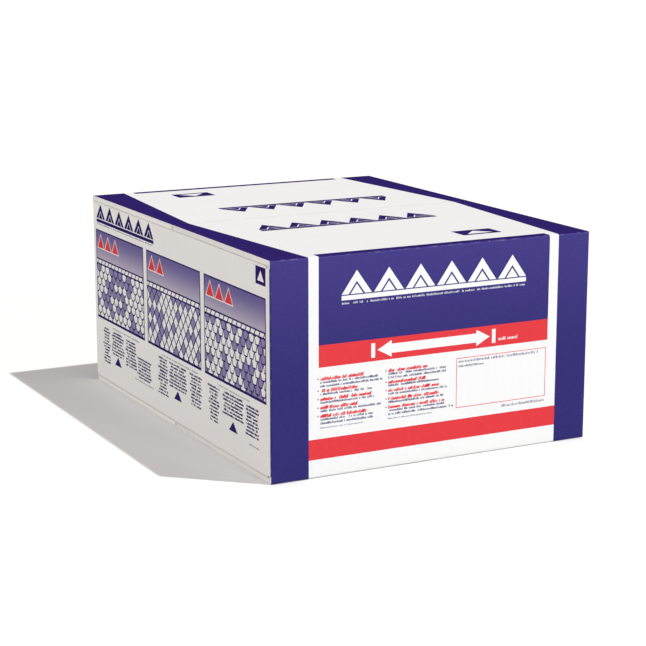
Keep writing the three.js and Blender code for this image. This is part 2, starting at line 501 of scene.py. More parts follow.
def inked(finish, ink, pinholes=0.14, mottle=0.05):
    """A finish of flexographic ink on the liner. The ink is a colour or a wire that gives it."""
    relief = finish.group(fibre_relief(), Flutes=0.3, Fibres=0.6)
    cover = finish.group(ink_cover(), Pinholes=pinholes, Mottle=mottle)
    rub = finish.group(fold_rub(), Reach=1.2 * MM)
    printed = finish.mixed(cover * (1.0 - rub * 0.16), tint("liner"), ink)
    mottled = cover.other("Tone")
    # The liner's tone carries the flutes' painted shade into the ink.
    tone = mottled * relief.other("Tone")
    finish.join(finish.toned(printed, tone), finish.shader["Base Color"])
    finish.join(mottled * 0.5 + 0.3, finish.shader["Roughness"])
    return finish.pressed(relief, 0.009 * MM)


@once
def blue_ink(name):
    """Blue of the end panels, painted lighter at the top and darker towards the base, as light from
    above would shade it.
    """
    finish = Finish(name)
    # Lit at the top and shaded towards the base: painted light, not a change in the ink.
    return inked(finish, finish.faded("blue_shaded_base", "blue_lit_top", HEIGHT * 0.38, HEIGHT * 1.05))


@once
def dark_blue_ink(name):
    """The darker blue of the flaps and the side panels. On the flaps it is a painted shade of the
    end panels' blue.
    """
    return inked(Finish(name, specular=0.0), tint("dark_blue"))


@once
def red_ink(name):
    """Red of the bands and the tabs."""
    return inked(Finish(name), tint("red"), pinholes=0.2)


@once
def pale_blue_ink(name):
    """Blue screened to a paler tone, on the shaded tiles."""
    return inked(Finish(name), tint("pale_blue"), pinholes=0.1, mottle=0.1)


@once
def picture_tint(name):
    """Blue tint that fades downwards behind the pictures' shingle courses."""
    finish = Finish(name)
    top = HEIGHT - side_print().picture_top
    base = top - side_print().picture_height * 0.55
    return inked(finish, finish.faded("sky_base", "sky_top", base, top), pinholes=0.1, mottle=0.08)


@once
def mineral_granules(name):
    """Coloured mineral granules pressed into the asphalt of a shingle."""
    finish = Finish(name, roughness=0.9, specular=0.3)
    off_middle = finish.add("ShaderNodeTexVoronoi", {"Vector": finish.place, "Scale": 850.0})
    blend = finish.noise(35.0, 3.0) * 0.5 + off_middle.other("Color")
    stone = finish.mixed(finish.smooth(blend, 0.3, 1.4), tint("granule"), tint("pale_granule"))
    asphalt = (0.006, 0.006, 0.006, 1)
    covered = finish.mixed(finish.smooth(off_middle, 0.2, 0.7), stone, asphalt)
    finish.join(covered, finish.shader["Base Color"])
    return finish.pressed(1.0 - off_middle, 0.5 * MM)


# Geometry trees for what repeats in the print


def counted_points(tree, count, per_row):
    """Points in rows, with the number of each, its row and its place in that row."""
    points = tree.add("GeometryNodePoints", {"Count": count})
    index = tree.add("GeometryNodeInputIndex")
    row = math.floor((index + 0.5) / per_row)
    return points, index, row, index - row * per_row


def random_value(tree, low, high, key, seed):
    """A random number between two others, the same each time for a key and a seed."""
    return tree.add("FunctionNodeRandomValue", {2: low, 3: high, 7: key, 8: seed}, 1)


def stored(tree, points, name, value, kind):
    """Points that carry a value on to what is put on them."""
    inputs = {"Geometry": points, "Name": name, "Value": value}
    return tree.add("GeometryNodeStoreNamedAttribute", inputs, data_type=kind, domain="POINT")


def named_value(tree, name, kind):
    """A value that was stored under a name."""
    return tree.add("GeometryNodeInputNamedAttribute", {"Name": name}, data_type=kind)


def moved(tree, geometry, **place):
    """Geometry put at a Position or moved by an Offset."""
    return tree.add("GeometryNodeSetPosition", {"Geometry": geometry, **place})


def spread_out(tree, points, piece, **inputs):
    """A piece put on each of some points."""
    return tree.add("GeometryNodeInstanceOnPoints", {"Points": points, "Instance": piece, **inputs})


def realized(tree, instances, ink):
    """The end of each tree: real geometry in one ink."""
    real = tree.add("GeometryNodeRealizeInstances", {0: instances})
    return tree.add("GeometryNodeSetMaterial", {"Geometry": real, "Material": ink})


@once
def type_lines(name):
    """Lines of small type, each glyph a plain upright mark, for what is too small to read."""
    group = Group(name, "GeometryNodeTree", {
        "Lines": 1, "Line Pitch": 2.0 * MM, "Column Width": 40.0 * MM, "Glyph Pitch": 0.9 * MM,
        "Glyph Height": 1.2 * MM, "Shortest Line": 1.0, "Centred": 0.0, "Slant": 0.0,
        "Weight": 0.62, "Low Glyphs": 0.6, "Low Height": 0.7, "Word Gaps": 0.13, "Seed": 1,
        "Ink": "NodeSocketMaterial",
    })
    given = group.given
    seed, pitch = given["Seed"], given["Glyph Pitch"]
    per_line = math.floor(given["Column Width"] / pitch)
    points, index, line, column = counted_points(group, given["Lines"] * per_line, per_line)
    glyphs = per_line * random_value(group, given["Shortest Line"], 1.0, line, seed)
    start = (per_line - glyphs) * 0.5 * given["Centred"]
    tall = random_value(group, 0.0, 1.0, index, seed + 1) > given["Low Glyphs"]
    low = given["Low Height"]
    height = given["Glyph Height"] * (tall * (1.0 - low) + low)
    baseline = line * given["Line Pitch"] + given["Glyph Height"]
    spot = group.vector((column + 0.5 + start) * pitch, height * 0.5 - baseline)
    word_gap = random_value(group, 0.0, 1.0, index, seed + 2) < given["Word Gaps"]
    stroke = random_value(group, 0.75, 1.25, index, seed + 3) * given["Weight"] * pitch
    # The points carry the glyph's size, which outlives the dropped ones.
    sized = stored(
        group, moved(group, points, Position=spot), "glyph", group.vector(stroke, height, 1.0),
        "FLOAT_VECTOR",
    )
    dropped = greater(column > glyphs, word_gap)
    kept = group.add("GeometryNodeDeleteGeometry", {"Geometry": sized, "Selection": dropped})
    square = group.add(
        "GeometryNodeMeshGrid", {"Size X": 1.0, "Size Y": 1.0, "Vertices X": 2, "Vertices Y": 2},
    )
    rise = group.parts(group.add("GeometryNodeInputPosition"))[1]
    slanted = moved(group, square, Offset=group.vector(rise * given["Slant"]))
    size = named_value(group, "glyph", "FLOAT_VECTOR")
    marks = spread_out(group, kept, slanted, Scale=size)
    return group.closed(Print=realized(group, marks, given["Ink"]))


@once
def peak_row(name):
    """A row of plain gables, each two rafters that meet at the top, over a smaller gable."""
    group = Group(name, "GeometryNodeTree", {
        "Peaks": 8, "Pitch": 20.0 * MM, "Span": 18.0 * MM, "Rise": 20.0 * MM,
        "Stroke": 5.0 * MM, "Gap": 2.0 * MM, "Ink": "NodeSocketMaterial",
    })
    given = group.given
    half = given["Span"] * 0.5
    slope = given["Rise"] / half
    foot = half - given["Stroke"]
    core = foot - given["Gap"]
    outlines = [
        group.add("GeometryNodeCurvePrimitiveQuadrilateral", {
            "Point 1": group.vector(half * side), "Point 2": group.vector(foot * side),
            "Point 3": group.vector(0.0, foot * slope), "Point 4": group.vector(0.0, given["Rise"]),
        }, mode="POINTS")
        for side in (-1.0, 1.0)
    ]
    outlines.append(group.add("GeometryNodeCurvePrimitiveQuadrilateral", {
        "Width": core * 2.0, "Bottom Height": 0.0, "Top Height": core * slope,
    }, mode="KITE"))
    join = group.data.nodes.new("GeometryNodeJoinGeometry")
    for outline in outlines:
        filled = group.add("GeometryNodeFillCurve", {"Curve": outline}, mode="NGONS")
        group.join(filled, join.inputs[0])
    joined = Wire(group, join.outputs[0])
    peak = group.add("GeometryNodeMergeByDistance", {"Geometry": joined, "Distance": 1e-6})
    row = group.add("GeometryNodeMeshLine", {
        "Count": given["Peaks"], "Start Location": group.vector(half),
        "Offset": group.vector(given["Pitch"]),
    })
    return group.closed(Print=realized(group, spread_out(group, row, peak), given["Ink"]))


@once
def shingle_courses(name):
    """Courses of tiles, every other one moved by half a tile, with some printed dark."""
    group = Group(name, "GeometryNodeTree", {
        "Tile": "NodeSocketObject", "Columns": 8, "Courses": 6, "Tile Width": 10.0 * MM,
        "Exposure": 6.0 * MM, "Shaded Share": 0.15, "Seed": 1, "Ink": "NodeSocketMaterial",
        "Shaded Ink": "NodeSocketMaterial",
    })
    given = group.given
    count = given["Columns"] * given["Courses"]
    points, index, course, column = counted_points(group, count, given["Columns"])
    across = (course % 2.0 * 0.5 + column) * given["Tile Width"]
    laid_out = moved(
        group, points, Position=group.vector(across, course * -1.0 * given["Exposure"]),
    )
    chosen = random_value(group, 0.0, 1.0, index, given["Seed"]) < given["Shaded Share"]
    marked = stored(group, laid_out, "shaded", chosen, "FLOAT")
    tile = group.add("GeometryNodeObjectInfo", {"Object": given["Tile"]}, "Geometry")
    printed = realized(group, spread_out(group, marked, tile), given["Ink"])
    shaded = named_value(group, "shaded", "FLOAT") > 0.5
    inks = {"Geometry": printed, "Selection": shaded, "Material": given["Shaded Ink"]}
    return group.closed(Print=group.add("GeometryNodeSetMaterial", inks))


def grown(tree, inputs):
    """The plain mesh that a geometry tree makes from these inputs."""
    holder = linked(tree.name, bpy.data.meshes.new(tree.name))
    modifier = holder.modifiers.new(tree.name, "NODES")
    modifier.node_group = tree
    for socket in tree.interface.items_tree:
        key = socket.name.lower().replace(" ", "_")
        if key in inputs:
            modifier[socket.identifier] = inputs[key]
    graph = bpy.context.evaluated_depsgraph_get()
    mesh = bpy.data.meshes.new_from_object(holder.evaluated_get(graph))
    bpy.data.objects.remove(holder)
    return mesh


# Flat print, and how it is laid on the folded board

PEAKS = 6  # Gables in a row


class Flat:
    """Flat print in a panel's own plane, u across and v up, before it is laid on the board."""

    def __init__(self, *inks):
        self.sheet = bmesh.new()
        self.inks = list(inks)

    def ink_index(self, ink):
        if ink not in self.inks:
            self.inks.append(ink)
        return self.inks.index(ink)

    def outline(self, points, ink=0):
        face = self.sheet.faces.new([self.sheet.verts.new((u, v, 0.0)) for u, v in points])
        face.material_index = ink

    def rectangle(self, left, right, base, top):
        self.outline([(left, base), (right, base), (right, top), (left, top)])

    def frame(self, left, right, base, top, line):
        """Four bars along the inside of a rectangle."""
        self.rectangle(left, right, top - line, top)
        self.rectangle(left, right, base, base + line)
        self.rectangle(left, left + line, base + line, top - line)
        self.rectangle(right - line, right, base + line, top - line)

    def disc(self, u, v, radius, ink):
        corners = 12
        turns = [2 * math.pi * k / corners for k in range(corners)]
        around = [(u + radius * math.cos(turn), v + radius * math.sin(turn)) for turn in turns]
        self.outline(around, self.ink_index(ink))

    def grow(self, tree, left, top, window=None, **inputs):
        """Adds what a geometry tree makes, from a point of the panel, cut off by a window."""
        mesh = grown(tree, inputs)
        piece = bmesh.new()
        piece.from_mesh(mesh)
        bmesh.ops.translate(piece, verts=piece.verts, vec=(left, top, 0.0))
        if window:
            cut_to_window(piece, *window)
        for face in piece.faces:
            face.material_index = self.ink_index(mesh.materials[face.material_index])
        piece.to_mesh(mesh)
        piece.free()
        self.sheet.from_mesh(mesh)
        bpy.data.meshes.remove(mesh)

    def small_type(self, left, top, ink, width, pitch, height, line_pitch=2.0, **inputs):
        """Adds lines of small type below a point of the panel. Its sizes are in millimetres."""
        self.grow(
            type_lines(), left, top, column_width=width * MM, glyph_pitch=pitch * MM,
            glyph_height=height * MM, line_pitch=line_pitch * MM, ink=ink, **inputs,
        )

    def single_lines(self, ink, panel_left, rows):
        """Adds one line for each row: left, top, width, pitch, height, weight and seed."""
        for left, top, width, pitch, height, weight, seed in rows:
            self.small_type(
                panel_left + left * MM, from_top(top), ink, width=width, pitch=pitch,
                height=height, weight=weight, seed=seed,
            )

    def barred_peaks(self, left, base, ink, bar, lift, **row):
        """Adds a row of gables over a bar as long as the row. Its sizes are in millimetres."""
        width = ((PEAKS - 1) * row["pitch"] + row["span"]) * MM
        self.rectangle(left, left + width, base, base + bar * MM)
        sizes = {name: size * MM for name, size in row.items()}
        self.grow(peak_row(), left, base + (bar + lift) * MM, peaks=PEAKS, ink=ink, **sizes)


def cut(sheet, point, normal, clear=False):
    geometry = sheet.verts[:] + sheet.edges[:] + sheet.faces[:]
    bmesh.ops.bisect_plane(
        sheet, geom=geometry, dist=1e-8, plane_co=point, plane_no=normal, clear_outer=clear,
    )


def cut_to_window(sheet, left, right, base, top):
    cut(sheet, (left, 0, 0), (-1, 0, 0), clear=True)
    cut(sheet, (right, 0, 0), (1, 0, 0), clear=True)
    cut(sheet, (0, base, 0), (0, -1, 0), clear=True)
    cut(sheet, (0, top, 0), (0, 1, 0), clear=True)


Half = namedtuple("Half", "length width height")


def half_board():
    """Half the length, width and height between the board's own faces, under the print."""
    return Half(*(size / 2 - board().skin for size in (LENGTH, WIDTH, HEIGHT)))


def flap_reach(from_end):
    """v of a point on the upper outer flap, by its distance from the end panel's face."""
    radius = board().fold_radius
    return HEIGHT / 2 + half_board().height - 2 * radius + math.pi * radius / 2 + from_end


def round_fold(run, radius, lift):
    """Along a face, round its fold and on: how far in from the face and out past the fold."""
    if run <= 0:
        return -lift, run
    if run < math.pi * radius / 2:
        turn = run / radius
        return radius - (radius + lift) * math.cos(turn), (radius + lift) * math.sin(turn)
    return radius + run - math.pi * radius / 2, radius + lift


def on_end(u, v, lift):
    """From the flat print of an end strip to the front panel and its two outer flaps."""
    half, radius = half_board(), board().fold_radius
    level = v - HEIGHT / 2
    inward, upward = round_fold(abs(level) - (half.height - radius), radius, lift)
    corner_inward, outward = round_fold(abs(u) - (half.length - radius), radius, lift)
    x = math.copysign(half.length - radius + outward, u)
    z = HEIGHT / 2 + math.copysign(half.height - radius + upward, level)
    return x, -half.width + max(inward, corner_inward), z


def on_side(u, v, lift):
    """From the flat print of a side panel, u from its back edge, to the left panel."""
    return -half_board().length - lift, WIDTH / 2 - u, v


def end_cuts():
    """Lines across the flat print of an end strip where it bends round the folds."""
    half, radius = half_board(), board().fold_radius
    corner, crest = half.length - radius, half.height - radius
    steps = 6
    arcs = [radius * math.pi / 2 * k / steps for k in range(steps + 1)]
    sides = (-1, 1)
    # A band ends on the round of an upright corner, so it needs no lines past there.
    upright = [((side * (corner + arc), 0, 0), (1, 0, 0)) for arc in arcs[:5] for side in sides]
    across = [
        ((0, HEIGHT / 2 + side * (crest + arc), 0), (0, 1, 0)) for arc in arcs for side in sides
    ]
    # Where two folds meet at a corner of the carton, the print bends along the line between them.
    turned = [
        ((side * corner, HEIGHT / 2 + end * crest, 0), (side, -end, 0))
        for side in sides for end in sides
    ]
    return upright + across + turned


def finished(name, mesh):
    """A piece of the carton, in its place in the frame."""
    mesh.shade_smooth()
    mesh.set_sharp_from_angle(angle=math.radians(25))
    piece = linked(name, mesh)
    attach(piece, BODY)
    return piece


FILM_SINK = 0.25  # Share of a film's thickness that lies in the level below its own
HALF_TURN = Matrix.Rotation(math.pi, 4, "Z")


def laid(name, flat, place, level=1):
    """A closed film of print on the board, on its own level above the liner."""
    sheet = flat.sheet
    film = board().film
    lower, upper = (level - 1 - FILM_SINK) * film, level * film
    raised = bmesh.ops.extrude_face_region(sheet, geom=sheet.faces[:], use_keep_orig=True)["geom"]
    tops = {part for part in raised if isinstance(part, bmesh.types.BMVert)}
    for corner in sheet.verts:
        corner.co.z = upper if corner in tops else lower
    bmesh.ops.recalc_face_normals(sheet, faces=sheet.faces)
    for corner in sheet.verts:
        corner.co = place(*corner.co)
    mesh = mesh_of(sheet, name)
    for ink in flat.inks:
        mesh.materials.append(ink)
    for spare in ("glyph", "shaded"):
        if spare in mesh.attributes:
            mesh.attributes.remove(mesh.attributes[spare])
    return finished(name, mesh)


def laid_twice(name, flat, place, level=1):
    """The same print on the front and back ends, or on the left and right sides."""
    first, second = ("front", "back") if place is on_end else ("left", "right")
    mesh = laid(f"{first}_{name}", flat, place, level).data.copy()
    mesh.transform(HALF_TURN)
    finished(f"{second}_{name}", mesh)


# Board and ridge caps


def board_mesh():
    """The folded blank, with its cut edges opened between the liners."""
    sizes = board()
    blank = bmesh.new()
    blank.from_mesh(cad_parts["carton"].data)
    bmesh.ops.remove_doubles(blank, verts=blank.verts, dist=1e-6)
    flat = math.radians(0.2)
    bmesh.ops.dissolve_limit(blank, angle_limit=flat, verts=blank.verts, edges=blank.edges)
    for level in (sizes.crease, HEIGHT - sizes.crease):
        cut(blank, (0, 0, level), (0, 0, 1))
    tighten_creases(blank)
    for face in blank.faces:
        face.material_index = 0
    raw = [face for face in blank.faces if is_cut_edge(face)]
    rims = bmesh.ops.inset_individual(blank, faces=raw, thickness=sizes.liner, use_even_offset=True)
    bmesh.ops.inset_individual(blank, faces=raw, thickness=sizes.edge, depth=-sizes.recess)
    for face in raw + rims["faces"]:
        face.material_index = 1
    # The board is drawn in by the skin on every side, which leaves the print its room.
    half, middle = half_board(), Vector((0, 0, HEIGHT / 2))
    shrink = Vector((2 * half.length / LENGTH, 2 * half.width / WIDTH, 2 * half.height / HEIGHT))
    for corner in blank.verts:
        corner.co = middle + (corner.co - middle) * shrink
    bmesh.ops.recalc_face_normals(blank, faces=blank.faces)
    mesh = mesh_of(blank, "carton_board")
    mesh.materials.append(white_liner())
    mesh.materials.append(cut_edge())
    return mesh


def tighten_creases(blank):
    """Gives the short flaps' creases a smaller radius outside, to close on the long flaps."""
    sizes = board()
    radius, tight = sizes.fold_radius, sizes.crease_radius
    start = radius - tight
    near = 0.02 * MM
    straight = 1 / 8  # Share of the old round at each end that goes straight on
    for corner in blank.verts:
        out = abs(corner.co.x) - (LENGTH / 2 - radius)
        down = sizes.crease - min(corner.co.z, HEIGHT - corner.co.z)
        on_round = abs(math.hypot(out, down) - radius) < near and min(out, down) > near
        if not on_round or abs(corner.co.y) > WIDTH / 2 - 3 * radius:
            continue
        turn = math.atan2(down, out) / (math.pi / 2)
        bend = math.pi / 2 * min(1.0, max(0.0, (turn - straight) / (1 - 2 * straight)))
        across = LENGTH / 2 - radius + start + tight * math.cos(bend)
        corner.co.x = math.copysign(across, corner.co.x)
        level = sizes.crease - start - tight * math.sin(bend)
        corner.co.z = level if corner.co.z < HEIGHT / 2 else HEIGHT - level


def is_cut_edge(face):
    """Whether a face of the blank is a cut edge of the board that shows on the closed carton."""
    sizes, middle, normal = board(), face.calc_center_median(), face.normal
    square_on, near = 0.99, 0.05 * MM
    over_panels = min(middle.z, HEIGHT - middle.z) < sizes.crease
    at_side = abs(abs(middle.x) - (LENGTH / 2 - sizes.flap_inset)) < near
    at_joint = middle.x > LENGTH / 2 - sizes.joint and middle.y > WIDTH / 2 - near
    if over_panels:
        flap_side = abs(normal.x) > square_on and at_side
        return flap_side or (abs(normal.y) > square_on and abs(middle.y) < sizes.seam)
    return normal.y > square_on and at_joint


class CARTON_OT_board(bpy.types.Operator):
    """Makes the corrugated board of the carton"""

    bl_idname = "carton.board"
    bl_label = "Board"

    def execute(self, context):
        piece = finished("carton_board", board_mesh())
        bevel = piece.modifiers.new("softened_edges", "BEVEL")
        bevel.width = board().edge
        bevel.segments = 2
        bevel.limit_method = "ANGLE"
        bevel.angle_limit = math.radians(50)
        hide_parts("carton")
        return {"FINISHED"}


class CARTON_OT_caps(bpy.types.Operator):
    """Gives the ridge caps in the carton their granules"""

    bl_idname = "carton.caps"
    bl_label = "Ridge caps"

    def execute(self, context):
        for name in CAP_NODES:
            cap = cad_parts[name]
            if not cap.material_slots:
                cap.data.materials.append(None)
            for slot in cap.material_slots:
                slot.material = mineral_granules()
        return {"FINISHED"}


# Print on the ends and their flaps


def from_left(millimetres):
    """u on an end panel, by the distance from its left edge."""
    return -LENGTH / 2 + millimetres * MM


def from_top(millimetres):
    """v on any panel, by the distance from its top edge."""
    return HEIGHT - millimetres * MM


def band_outline(inner, panel_edge, sign):
    """A blue band up an end panel and over both outer flaps, narrower where the flaps meet."""
    half, radius, crease = half_board(), board().fold_radius, board().crease
    bare_tip, bare_side = 0.05 * MM, 0.1 * MM  # Left bare along the flap's cut edges
    tip = flap_reach(WIDTH / 2 - board().seam / 2 - bare_tip)
    seam = half.length - end_print().seam_band
    past_fold = radius - board().flap_inset - bare_side
    flap_edge = half.length - radius + radius * math.asin(past_fold / radius)
    points = [
        (inner, HEIGHT), (seam, tip), (flap_edge, tip), (flap_edge, HEIGHT - crease),
        (panel_edge, HEIGHT - crease), (panel_edge, crease), (flap_edge, crease),
        (flap_edge, HEIGHT - tip), (seam, HEIGHT - tip), (inner, 0.0),
    ]
    return [(sign * u, v) for u, v in points]


def block_edges():
    """Left and right edges of the blue block and the red band."""
    layout, half = end_print(), half_board().length
    return -half + layout.left_band + layout.gap, half - layout.right_band - layout.gap


def blue_print(joint_side=0):
    """Bands, block and wraps of an end strip. The corner joint may be on one side of it."""
    layout, half, radius = end_print(), half_board(), board().fold_radius
    flat = Flat(blue_ink(), dark_blue_ink())
    reach = 0.72 * math.pi / 2  # How far a band turns round an upright corner
    round_corner = half.length - radius + radius * reach
    joint_edge = LENGTH / 2 - board().joint - radius
    for sign, width in ((-1, layout.left_band), (1, layout.right_band)):
        panel_edge = joint_edge if sign == joint_side else round_corner
        flat.outline(band_outline(half.length - width, panel_edge, sign))
    left, right = block_edges()
    wrap, half_wrap = flap_reach(layout.wrap), flap_reach(layout.wrap / 2)
    flat.rectangle(left, right, HEIGHT - layout.block, wrap)
    flat.rectangle(left, right, HEIGHT - wrap, HEIGHT - half_wrap)
    for point, normal in end_cuts():
        cut(flat.sheet, point, normal)
    # Past the middle of the top and bottom folds the print turns to the darker blue: a painted
    # shade of the same ink on the flaps.
    crest = half.height - radius + radius * math.pi / 4
    for face in flat.sheet.faces:
        if abs(face.calc_center_median().y - HEIGHT / 2) > crest:
            face.material_index = 1
    return flat


class CARTON_OT_blue_print(bpy.types.Operator):
    """Lays the blue bands and blocks on both end panels and their flaps"""

    bl_idname = "carton.blue_print"
    bl_label = "Blue bands and blocks"

    def execute(self, context):
        laid("front_blue_print", blue_print(), on_end)
        back = laid("back_blue_print", blue_print(joint_side=-1), on_end)
        back.data.transform(HALF_TURN)
        return {"FINISHED"}


class CARTON_OT_red_print(bpy.types.Operator):
    """Lays the red band, the red stripe and the outlined box on both end panels"""

    bl_idname = "carton.red_print"
    bl_label = "Red bands"

    def execute(self, context):
        layout, half = end_print(), half_board().length
        left, right = block_edges()
        flat = Flat(red_ink())
        band_top, stripe_top = HEIGHT - layout.block, HEIGHT - layout.stripe_top
        flat.rectangle(left, right, band_top - layout.red_band, band_top)
        flat.rectangle(
            -half + layout.left_band, half - layout.right_band,
            stripe_top - layout.stripe, stripe_top,
        )
        flat.frame(from_left(152.0), from_left(230.8), from_top(123.4), from_top(85.6), 0.5 * MM)
        laid_twice("red_print", flat, on_end)
        return {"FINISHED"}


def width_arrow(flat, left, right, middle, height):
    """A double-ended arrow between two end bars, as on a drawing of a width."""
    bar, head, shaft, spread = height * 0.3, height * 1.1, height * 0.32, height * 0.58
    flat.rectangle(left, left + bar, middle - height / 2, middle + height / 2)
    flat.rectangle(right - bar, right, middle - height / 2, middle + height / 2)
    left, right = left + bar * 1.6, right - bar * 1.6
    lower = [
        (left, 0.0), (left + head, -spread), (left + head, -shaft),
        (right - head, -shaft), (right - head, -spread), (right, 0.0),
    ]
    upper = [(u, -v) for u, v in reversed(lower[1:-1])]
    flat.outline([(u, middle + v) for u, v in lower + upper])


class CARTON_OT_end_marks(bpy.types.Operator):
    """Lays the pale peaks, the width arrow and small type on the blue and red of the ends"""

    bl_idname = "carton.end_marks"
    bl_label = "Pale marks on the ends"

    def execute(self, context):
        pale = white_liner()
        flat = Flat(pale)
        flat.barred_peaks(
            from_left(56.3), from_top(33.2), pale, bar=3.3, lift=0.8, pitch=26.1, span=24.4,
            rise=17.0, stroke=5.6, gap=1.5,
        )
        width_arrow(flat, from_left(80.4), from_left(185.5), from_top(72.0), 10.6 * MM)
        flat.single_lines(pale, from_left(0.0), (
            (56.5, 34.6, 154.5, 1.0, 1.5, 0.46, 11),
            (188.0, 73.4, 17.5, 1.3, 2.4, 0.6, 17),
        ))
        laid_twice("pale_marks", flat, on_end, level=2)
        return {"FINISHED"}


def end_column(flat, left, width, seed):
    """One column of an end panel's text: slanted red heads over blue lines."""
    # Each paragraph: the top of its head, and how many lines are below it.
    paragraphs = ((87.0, 2), (95.6, 1), (101.8, 1), (108.0, 1), (114.2, 2))
    for number, (top, lines) in enumerate(paragraphs):
        flat.disc(from_left(left - 1.8), from_top(top + 1.2), 0.5 * MM, blue_ink())
        flat.small_type(
            from_left(left), from_top(top), red_ink(), width=width * 0.92, pitch=1.25,
            height=2.45, shortest_line=0.6, slant=0.5, weight=0.88, seed=seed + number,
        )
        flat.small_type(
            from_left(left), from_top(top + 2.9), blue_ink(), width=width, pitch=0.95,
            height=1.7, line_pitch=2.75, lines=lines, shortest_line=0.7, weight=0.68,
            seed=seed + 20 + number,
        )
    flat.small_type(
        from_left(left), from_top(123.6), blue_ink(), width=width * 0.68, pitch=0.8,
        height=1.0, shortest_line=0.95, weight=0.5, seed=seed + 40,
    )


class CARTON_OT_end_type(bpy.types.Operator):
    """Lays the columns of small type on both end panels"""

    bl_idname = "carton.end_type"
    bl_label = "Small type on the ends"

    def execute(self, context):
        flat = Flat(red_ink(), blue_ink())
        end_column(flat, 39.4, 51.0, 100)
        end_column(flat, 94.6, 56.5, 200)
        flat.single_lines(blue_ink(), from_left(0.0), (
            (153.6, 87.2, 71.5, 1.35, 2.0, 0.45, 301),
            (153.6, 90.9, 23.0, 1.1, 1.7, 0.5, 302),
            (191.9, 125.4, 39.0, 1.2, 2.0, 0.45, 303),
        ))
        laid_twice("type", flat, on_end)
        return {"FINISHED"}


def gable_block(flat, left, base, width, height):
    """A solid block with one gable left bare in the middle of it."""
    middle, edge, reach = left + width / 2, height * 0.2, width * 0.34
    for side in (-1, 1):
        flat.outline([
            (middle + side * width / 2, base), (middle, base), (middle, base + edge),
            (middle + side * reach, base + edge), (middle, base + height - edge),
            (middle, base + height), (middle + side * width / 2, base + height),
        ])


class CARTON_OT_flap_marks(bpy.types.Operator):
    """Lays the row of dark peaks on both upper flaps"""

    bl_idname = "carton.flap_marks"
    bl_label = "Peaks on the flaps"

    def execute(self, context):
        # The flaps' print is in the darker blue, a painted shade of the end panels' blue.
        flat = Flat(dark_blue_ink())
        flat.barred_peaks(
            from_left(49.5), flap_reach(114 * MM), dark_blue_ink(), bar=5.5, lift=1.0,
            pitch=25.8, span=24.0, rise=20.0, stroke=6.4, gap=1.1,
        )
        gable_block(flat, from_left(174.2), flap_reach(28.2 * MM), 33.5 * MM, 18.7 * MM)
        laid_twice("flap_peaks", flat, on_end)
        return {"FINISHED"}


# Print on the sides, whose u is the distance from their left edge

TILE_SHAPES = ("scallop", "diamond", "hexagon")
TILE_COLUMNS, TILE_COURSES = 13, 12
RIDGE_CAPS = 16
HEXAGON_SLANT = 0.225  # Share of a hexagon's width that each of its slanting edges takes
LINE_SHARE = 1.4  # Exposures over which the line round a tile is shared out in height


def butt_line(shape, share_across):
    """Depth of a tile's lower edge, as a share, from nought at a side to one in the middle."""
    off_middle = abs(2 * share_across - 1)
    if shape == "scallop":
        return math.sqrt(max(0.0, 1 - off_middle ** 2))
    if shape == "diamond":
        return 1 - off_middle
    return min(1.0, (1 - off_middle) / (2 * HEXAGON_SLANT))


def corner_shares(shape):
    """How far across a tile the corners of its lower and of its upper edge are, as shares."""
    if shape == "hexagon":
        slant = HEXAGON_SLANT
        return (0.0, slant, 1 - slant, 1.0), (0.0, 0.5 - slant, 0.5, 0.5 + slant, 1.0)
    steps = {"scallop": 16, "diamond": 2}[shape]
    shares = [k / steps for k in range(steps + 1)]
    return shares, shares


def tile_object(shape):
    """One tile as it shows in its course, between its own edge and those of the course above."""
    layout = side_print()
    lower_shares, upper_shares = corner_shares(shape)
    lower = [(at, -butt_line(shape, at)) for at in lower_shares]
    upper = [(at, 1 - butt_line(shape, (at + 0.5) % 1.0)) for at in reversed(upper_shares[1:-1])]
    # Each tile is drawn a line smaller than its place, so that its ground shows all round it.
    width = layout.tile_width - layout.tile_line
    height = layout.exposure - layout.tile_line / LINE_SHARE
    return pattern(shape, [((at - 0.5) * width, depth * height) for at, depth in lower + upper])


def cap_object():
    """One cap of the row along the ridge, with slanting ends."""
    layout = side_print()
    reach = (layout.ridge_cap - layout.tile_line) / 2
    half, slant = layout.ridge_cap_height / 2, layout.ridge_cap * 0.12
    return pattern("ridge_row_cap", [
        (-reach - slant, -half), (reach - slant, -half),
        (reach + slant, half), (-reach + slant, half),
    ])


def pattern(name, points):
    """An object of one flat face, for a geometry tree to repeat."""
    flat = Flat()
    flat.outline(points)
    return linked(name, mesh_of(flat.sheet, name))


def picture_edges(number):
    """Left, right, base and top edge of one of a side panel's pictures."""
    layout = side_print()
    left = layout.margin + number * layout.picture_pitch
    top = HEIGHT - layout.picture_top
    return left, left + layout.picture_width, top - layout.picture_height, top


